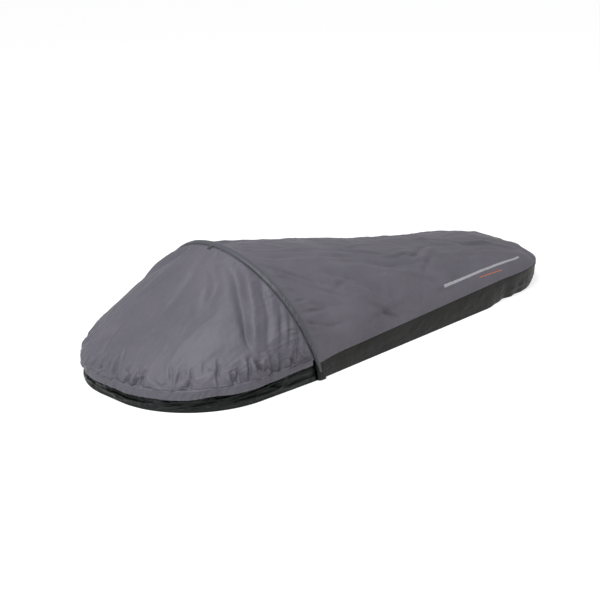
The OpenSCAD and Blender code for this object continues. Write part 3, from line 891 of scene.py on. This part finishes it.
# ---- hoop ----
def hoop_line(run, r, n):
    """Points at a length run along the hoop from a foot of the sleeve, at radius r, n out of its plane."""
    arc = math.pi * HOOP_R
    a = clamp01((run - SLEEVE_LEG) / arc) * math.pi
    below = np.maximum(0, SLEEVE_LEG - run) + np.maximum(0, run - SLEEVE_LEG - arc)
    lateral, up = r * np.cos(a), r * np.sin(a) - below
    return np.stack([HOOP_X - up * math.sin(HOOP_TILT) + n * math.cos(HOOP_TILT), lateral,
                     HOOP_Z + up * math.cos(HOOP_TILT) + n * math.sin(HOOP_TILT)], -1)


SLEEVE_OUT, SLEEVE_IN = 0.0069, 0.0056   # the sleeve's faces, out and in from the pole's line
SLEEVE_STITCH_OUT, SLEEVE_STITCH_INSET = 0.0042, 0.003    # its stitches, out from the line and in from its edges


def pole_sleeve():
    """The sleeve over the pole, puckered on the hood's side towards its feet, with two rows of stitches."""
    steps, sides = 1100, 44
    run = np.linspace(0, SLEEVE_RUN, steps)[:, None]
    q = np.linspace(0, 2 * math.pi, sides, endpoint=False)[None, :]
    low = np.minimum(run, SLEEVE_RUN - run)
    w = np.cos(q) * sleeve_half(low)
    crown = np.sin(q)
    radial = np.where(crown > 0, SLEEVE_OUT, SLEEVE_IN) * np.sign(crown) * np.abs(crown) ** 0.8
    gather = 1 - ease((low - 0.12) / 0.40)
    pucker = 1 - np.exp(-np.abs(noise2(run * 62 + w * 100, w * 40 + 5, 91)) / 0.30)
    pucker = pucker * (0.35 + 0.65 * ease((0.004 - w) / 0.006))
    fine = noise2(run * 24, w * 120, 92)
    edge = np.abs(np.cos(q)) ** 2
    radial = radial + clamp01(crown) ** 0.5 * (0.0058 * gather * pucker + 0.0005 * fine)
    waver = 0.05 * gather * noise2(run * 90, 3 + 0 * run, 93) + 0.02 * noise2(run * 14, 0 * run, 95)
    p = hoop_line(run + 0 * q, HOOP_R + radial, w * (1 + edge * waver))
    sleeve = mesh_object("sleeve", p.reshape(-1, 3), tube_faces(steps, sides), SLEEVE)
    finish_piece(sleeve, "bag", "sleeve_cloth", "pole_sleeve")
    path_run = np.linspace(0.05, SLEEVE_RUN - 0.05, 400)
    for n, name in ((-1, "front"), (1, "back")):
        path = hoop_line(path_run, HOOP_R + SLEEVE_STITCH_OUT, n * (SLEEVE_W / 2 - SLEEVE_STITCH_INSET))
        finish_piece(stitches("sleeve_stitch_" + name, path, THREAD_DARK), "bag", "sleeve_cloth")


# ---- pole cups, crown tab ----
CUP_LOW, CUP_HIGH, CUP_LIP = 0.0024, 0.060, 0.0585     # heights of the cup's foot, rim and inner lip
CUP_LONG, CUP_THICK = (0.0175, 0.0105), (0.0072, 0.0079)     # its half sizes, at the foot and at the rim


def pole_cup(side, hand):
    """A pleated nylon cup over the pole's foot, sewn to the wall; side is -1 or 1 along Y."""
    rows, sides = 46, 96
    z = np.linspace(CUP_LOW, CUP_HIGH, rows)[:, None]
    share = (z - CUP_LOW) / (CUP_HIGH - CUP_LOW)
    q = np.linspace(0, 2 * math.pi, sides, endpoint=False)[None, :]
    long_half = mix(*CUP_LONG, ease(share / 0.8))
    thick_half = mix(*CUP_THICK, share)
    pleat = 0.0016 * folds(q * 2.2 + share * 1.3, share * 3.0, 111 + side) * ease(share / 0.1)
    pleat = pleat + 0.0007 * noise2(q * 7.0, share * 9.0, 113)
    cx, sx = np.cos(q), np.sin(q)
    x = -(z - HOOP_Z) * math.tan(HOOP_TILT) + (long_half + pleat) * np.sign(cx) * np.abs(cx) ** 0.75
    y = side * HOOP_R + (thick_half + pleat) * np.sign(sx) * np.abs(sx) ** 0.75
    lip = np.stack([mix(x[-1], x[-1].mean(), 0.25), mix(y[-1], y[-1].mean(), 0.25), 0 * x[-1] + CUP_LIP], -1)
    p = to_row(np.concatenate([np.stack([x, y, z + 0 * x], -1), lip[None]]))
    cup = mesh_object("pole_cup_" + hand, p.reshape(-1, 3), tube_faces(rows + 1, sides), TUB)
    finish_piece(cup, "bag", "webbing", "pole_pocket_" + hand)


TAB_LENGTH, TAB_W = 0.0176, 0.016
TAB_HEIGHT, TAB_SLOPE = 0.0046, 0.208    # how far the tab stands off the pole's line, and how fast it falls


def crown_tab():
    """A short webbing tab that lies on the top of the hood against the sleeve, with its bar tack."""
    reach = np.linspace(0, TAB_LENGTH, 22)[:, None]
    wide = np.linspace(-TAB_W / 2, TAB_W / 2, 18)[None, :]
    tip = 1 - 0.10 * ease((reach - 0.014) / 0.004)
    drop = TAB_HEIGHT - reach * TAB_SLOPE + 0.0004 * np.sin(reach * 420.0) + 0 * wide
    n = -(SLEEVE_W / 2 + 0.0010) - reach + 0 * wide
    q = HOOP_R + drop
    p = np.stack([HOOP_X - q * math.sin(HOOP_TILT) + n * math.cos(HOOP_TILT), wide * tip,
                  HOOP_Z + q * math.cos(HOOP_TILT) + n * math.sin(HOOP_TILT)], -1)
    up = np.zeros_like(p)
    up[..., 0], up[..., 2] = -math.sin(HOOP_TILT), math.cos(HOOP_TILT)
    tab = cloth_mesh("crown_tab_webbing", p, up, WEBBING, thickness=0.0012)
    finish_piece(tab, "bag", "webbing", "crown_tab")
    tack = np.concatenate([p[row, 2:-2][::(1 if row % 2 else -1)] for row in (2, 3, 4)]) + up[0, 0] * 0.0003
    finish_piece(stitches("crown_tab_tack", tack, THREAD_GREY), "bag", "webbing")


# ---- zip ----
ZIP_END = 0.115            # how far ahead of the hoop feet the zip ends
TAPE_T, COIL_T, COIL_H, ZIP_GAP = 0.001, 0.003, 0.002, 0.001
COIL_PITCH, COIL_STEPS, COIL_WIRE_R = 0.0021, 8, 0.00042     # each turn's length, points and wire radius


def zip_half(name, body, low, high, coil_z):
    """One half of the zip: a woven tape with a raised edge, and a nylon coil sewn along it."""
    t = np.linspace(0, 1, 900)
    x, y = head_plan(t, ZIP_FRONT + TAPE_T, ZIP_HALF + TAPE_T, ZIP_CORNER + TAPE_T, ZIP_END)
    v = np.linspace(0, 1, 7)[:, None]
    p = to_row(np.stack([x + 0 * v, y + 0 * v, mix(low, high, v) + 0 * x], -1))
    n = outward(p, HOOD_CENTRE)
    p = p - n * (0.0002 + 0.0002 * noise2(t * 150.0, 0 * t, 121)[None, :, None])
    tape = cloth_mesh("zip_tape_" + name + "_weave", p, n, TAPE, thickness=0.0007)
    finish_piece(tape, body, "zip_tape", "zip_tape_" + name)
    off = TAPE_T + COIL_T / 2
    x, y = head_plan(np.linspace(0, 1, 2400), ZIP_FRONT + off, ZIP_HALF + off, ZIP_CORNER + off, ZIP_END)
    line = to_row(np.stack([x, y, coil_z + 0 * x], -1))
    pts, tangent = along(line, COIL_PITCH / COIL_STEPS)
    turn = np.arange(len(pts)) * 2 * math.pi / COIL_STEPS
    out = np.cross(tangent, [0, 0, 1.0])
    radius_out, radius_up = COIL_T / 2 - 0.0005, COIL_H / 2 - 0.0004      # room for the wire
    pts = pts + out * (radius_out * np.cos(turn))[:, None]
    pts[:, 2] += radius_up * np.sin(turn)
    coil = join_parts("zip_coil_" + name + "_turns", [tube_parts(pts, COIL_WIRE_R, 5)], COIL)
    finish_piece(coil, body, "zip_coil", "zip_coil_" + name)


# ---- plain CAD pieces that only need their material ----
NODE_MATERIALS = [
    (ALLOY, ["pole_section_1", "pole_section_2", "pole_section_3", "pole_section_4"]),
    (FERRULE, ["pole_ferrule_1", "pole_ferrule_2", "pole_ferrule_3"]),
    (ELASTIC, ["shock_cord"]),
    (TIP, ["pole_tip_right", "pole_tip_left"]),
    (ZIP_METAL, ["zip_stops", "zip_slider"]),
    (GRIP, ["zip_puller"]),
]
for material, nodes in NODE_MATERIALS:
    for node in nodes:
        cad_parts[node].data.materials.clear()
        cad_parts[node].data.materials.append(material)

body_panel()
storm_hood()
walls()
floor_sheet()
pole_sleeve()
pole_cup(-1, "right")
pole_cup(1, "left")
crown_tab()
zip_half("lower", "bag", HEAD_TOP_Z + 0.0002, ZIP_Z - ZIP_GAP, ZIP_Z - ZIP_GAP - COIL_H / 2)
zip_half("upper", "hood", ZIP_Z + ZIP_GAP, HOOD_LOW - 0.001, ZIP_Z + ZIP_GAP + COIL_H / 2)


# ---- studio ----
def area_light(name, place, aim, size, power, colour):
    """A rectangular light at place that shines at aim, size metres wide and high, power in watts."""
    light = bpy.data.objects.new(name, bpy.data.lights.new(name, "AREA"))
    light.data.energy = power
    light.data.color = colour
    light.data.shape = "RECTANGLE"
    light.data.size, light.data.size_y = size
    light.location = place
    light.rotation_mode = "QUATERNION"
    light.rotation_quaternion = (Vector(aim) - Vector(place)).to_track_quat("-Z", "Y")
    bpy.context.scene.collection.objects.link(light)


area_light("key", (-2.0, -1.2, 4.5), (-0.3, 0, 0.2), (2.0, 2.0), 245, (0.95, 0.97, 1.0))
area_light("left", (-4.0, 0.2, 1.6), (-0.6, 0, 0.2), (1.6, 1.6), 40, (0.92, 0.96, 1.0))
area_light("fill", (1.8, -4.2, 1.6), (0.3, 0, 0.1), (2.5, 1.4), 12, (1.0, 0.95, 0.94))

world = bpy.data.worlds.new("studio")
world.use_nodes = True
background = world.node_tree.nodes["Background"]
background.inputs["Color"].default_value = (1, 1, 1, 1)
background.inputs["Strength"].default_value = 0.64
bpy.context.scene.world = world
bpy.context.scene.view_settings.view_transform = "Standard"

floor_material = Graph("studio_floor")
floor_material.set(Base_Color=(0.38, 0.38, 0.38, 1), Roughness=1.0, Emission_Color=(1, 1, 1, 1),
                   Emission_Strength=0.70)
bpy.ops.mesh.primitive_plane_add(size=120, location=(0, 0, -0.0005))
studio_floor = bpy.context.object
studio_floor.name = "studio_floor"
studio_floor.data.materials.append(floor_material.material)
